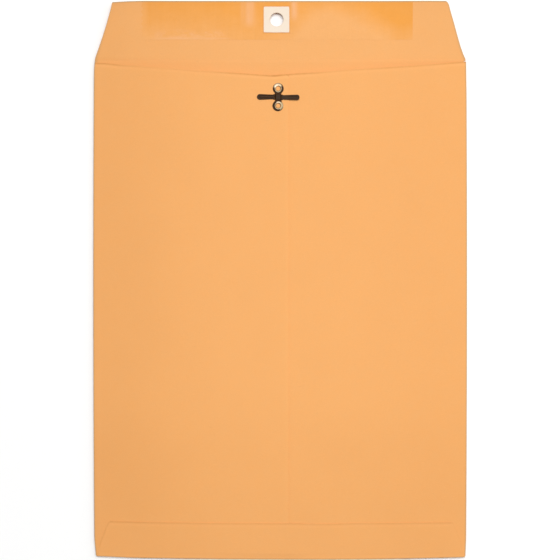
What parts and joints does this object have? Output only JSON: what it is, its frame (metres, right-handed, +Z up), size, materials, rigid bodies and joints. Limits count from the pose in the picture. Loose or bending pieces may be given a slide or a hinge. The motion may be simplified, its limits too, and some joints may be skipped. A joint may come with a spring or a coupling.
{
  "type": "clasp envelope",
  "caption": "Large kraft paper envelope with an open gummed flap, a reinforced flap hole and a metal clasp with bendable prongs.",
  "frame": {"origin": "on the resting plane, below the centre of the whole outline with the flap open", "axes": "+Z up out of the clasp side, +Y from the bottom fold towards the seal flap, +X across the width"},
  "size_m": [0.2286, 0.3404, 0.0063],
  "materials": {
    "kraft_outside": "matte golden kraft paper with fine fibres",
    "kraft_inside": "matte golden kraft paper, inside face",
    "dried_gum": "dried remoistenable gum, satin gloss",
    "white_patch": "cream white reinforcement paper",
    "glue": "dried paste between two paper layers",
    "clasp_dark": "dark bronzed sheet metal, polished",
    "eyelet_bright": "bright rolled brass"
  },
  "bodies": {
    "envelope_body": {"front_panel": "kraft_outside", "back_panel_left": "kraft_outside", "back_panel_right": "kraft_outside", "bottom_flap": "kraft_outside", "seam_glue": "glue", "bottom_flap_glue": "glue", "clasp_base": "clasp_dark", "clasp_eyelet_upper": "eyelet_bright", "clasp_eyelet_lower": "eyelet_bright", "paper_disc_upper": "kraft_outside", "paper_disc_lower": "kraft_outside"},
    "flap": {"seal_flap": "kraft_inside", "flap_gum_strip": "dried_gum", "hole_patch": "white_patch"},
    "prong_left": {"clasp_prong_left": "clasp_dark"},
    "prong_right": {"clasp_prong_right": "clasp_dark"}
  },
  "joints": [
    {"name": "flap_fold", "type": "hinge", "parent": "envelope_body", "child": "flap", "pos_m": [0, 0.13491, 0.00295], "axis": [1, 0, 0], "range_deg": [0, 172]},
    {"name": "prong_left_bend", "type": "hinge", "parent": "envelope_body", "child": "prong_left", "pos_m": [-0.00341, 0.11134, 0.00577], "axis": [0, 1, 0], "range_deg": [0, 90]},
    {"name": "prong_right_bend", "type": "hinge", "parent": "envelope_body", "child": "prong_right", "pos_m": [0.00099, 0.11104, 0.00577], "axis": [0, -1, 0], "range_deg": [0, 88]}
  ]
}
